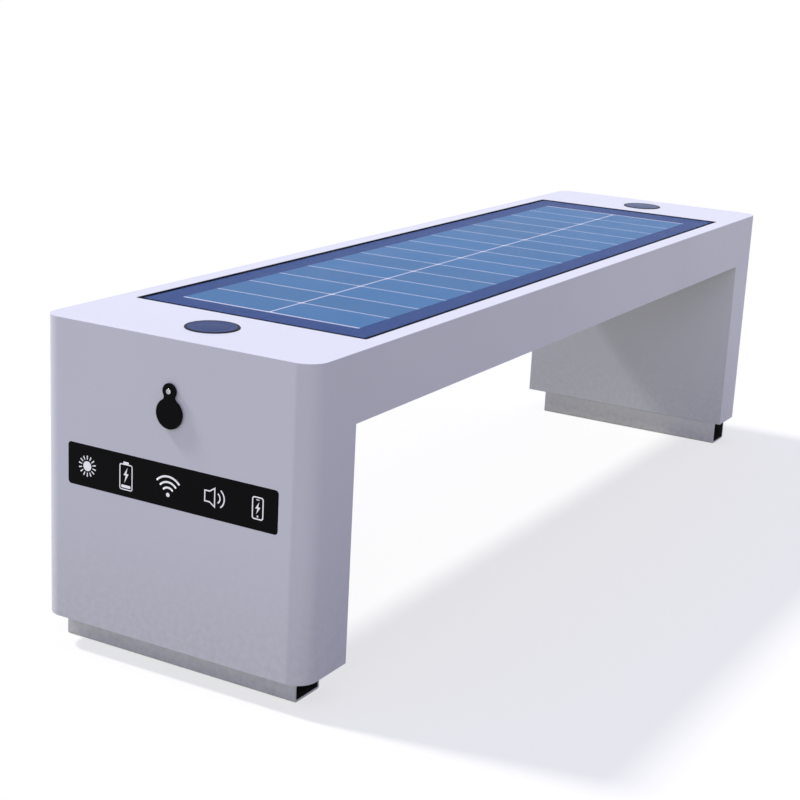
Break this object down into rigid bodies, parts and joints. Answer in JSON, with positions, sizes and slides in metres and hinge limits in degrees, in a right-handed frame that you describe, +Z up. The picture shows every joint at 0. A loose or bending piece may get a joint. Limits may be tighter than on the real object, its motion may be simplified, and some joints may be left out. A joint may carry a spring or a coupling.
{
  "type": "solar charging bench",
  "caption": "Portal-shaped street bench in white sheet steel with a solar panel in the seat, wireless charging pads, a charging socket under a swivel cover and a pictogram plate.",
  "frame": {"origin": "on the ground, below the middle of the whole bench", "axes": "+X along the seat, away from the end with the charging socket; +Z up; -Y the long side that shows in the picture"},
  "size_m": [1.7064, 0.445, 0.4812],
  "materials": {
    "white_powder_coat": "white powder coat over galvanised sheet steel, satin with a fine texture",
    "plinth_powder_coat": "grey-white powder coat, dulled by splashes",
    "galvanised_steel": "zinc plated steel",
    "stainless_steel": "polished stainless steel fasteners and lock",
    "solar_glass": "toughened clear glass over the cells",
    "solar_cells": "dark blue silicon cells in a laminate with silver bus lines",
    "black_rubber": "black sealing rubber",
    "black_gloss_plastic": "black moulded plastic, semi-gloss",
    "black_matt_plastic": "black moulded plastic, matt",
    "pad_glass": "dark blue-black glossy disc",
    "copper_coil": "enamelled copper winding",
    "circuit_board": "green circuit board",
    "aluminium_heatsink": "cast aluminium housing with cooling fins"
  },
  "bodies": {
    "bench": {"deck_sheet": "white_powder_coat", "side_sheet_front": "white_powder_coat", "side_sheet_rear": "white_powder_coat", "end_sheet_near": "white_powder_coat", "end_sheet_far": "white_powder_coat", "leg_inner_sheet_near": "white_powder_coat", "leg_inner_sheet_far": "white_powder_coat", "leg_base_plate_near": "galvanised_steel", "leg_base_plate_far": "galvanised_steel", "plinth_near": "plinth_powder_coat", "plinth_far": "plinth_powder_coat", "plinth_bolt_near_1": "galvanised_steel", "plinth_bolt_near_2": "galvanised_steel", "plinth_bolt_far_1": "galvanised_steel", "plinth_bolt_far_2": "galvanised_steel", "panel_frame": "galvanised_steel", "glass_seal": "black_rubber", "solar_glass": "solar_glass", "cell_laminate": "solar_cells", "crossbar_1": "galvanised_steel", "crossbar_2": "galvanised_steel", "crossbar_3": "galvanised_steel", "crossbar_cushion_1": "black_rubber", "crossbar_cushion_2": "black_rubber", "crossbar_cushion_3": "black_rubber", "junction_box": "black_matt_plastic", "pad_housing_near": "black_gloss_plastic", "pad_housing_far": "black_gloss_plastic", "pad_disc_near": "pad_glass", "pad_disc_far": "pad_glass", "pad_coil_near": "copper_coil", "pad_coil_far": "copper_coil", "pad_nut_near": "black_matt_plastic", "pad_nut_far": "black_matt_plastic", "socket_body": "black_gloss_plastic", "port_tongue": "black_matt_plastic", "socket_nut": "black_matt_plastic", "cover_screw": "stainless_steel", "icon_plate": "black_gloss_plastic", "icon_light_board": "circuit_board", "hinge_seat_1": "stainless_steel", "hinge_seat_2": "stainless_steel", "battery_pack": "black_matt_plastic", "battery_strap": "galvanised_steel", "charge_controller": "aluminium_heatsink", "router_module": "black_matt_plastic", "speaker_driver": "black_matt_plastic", "underside_panel": "white_powder_coat", "panel_screw_1": "stainless_steel", "panel_screw_2": "stainless_steel", "panel_screw_3": "stainless_steel", "panel_screw_4": "stainless_steel", "panel_screw_5": "stainless_steel", "panel_screw_6": "stainless_steel"},
    "cover": {"socket_cover": "black_gloss_plastic"},
    "door": {"service_door": "white_powder_coat", "lock_body": "stainless_steel", "lock_nut": "stainless_steel"},
    "lock": {"lock_cam": "stainless_steel"}
  },
  "joints": [
    {"name": "cover_swivel", "type": "hinge", "parent": "bench", "child": "cover", "pos_m": [-0.8498, 0, 0.4098], "axis": [1, 0, 0], "range_deg": [-180, 180]},
    {"name": "door_hinge", "type": "hinge", "parent": "bench", "child": "door", "pos_m": [-0.7378, -0.15, 0.215], "axis": [0, 0, -1], "range_deg": [0, 110]},
    {"name": "lock_turn", "type": "hinge", "parent": "door", "child": "lock", "pos_m": [-0.7468, 0.125, 0.215], "axis": [1, 0, 0], "range_deg": [0, 90]}
  ]
}
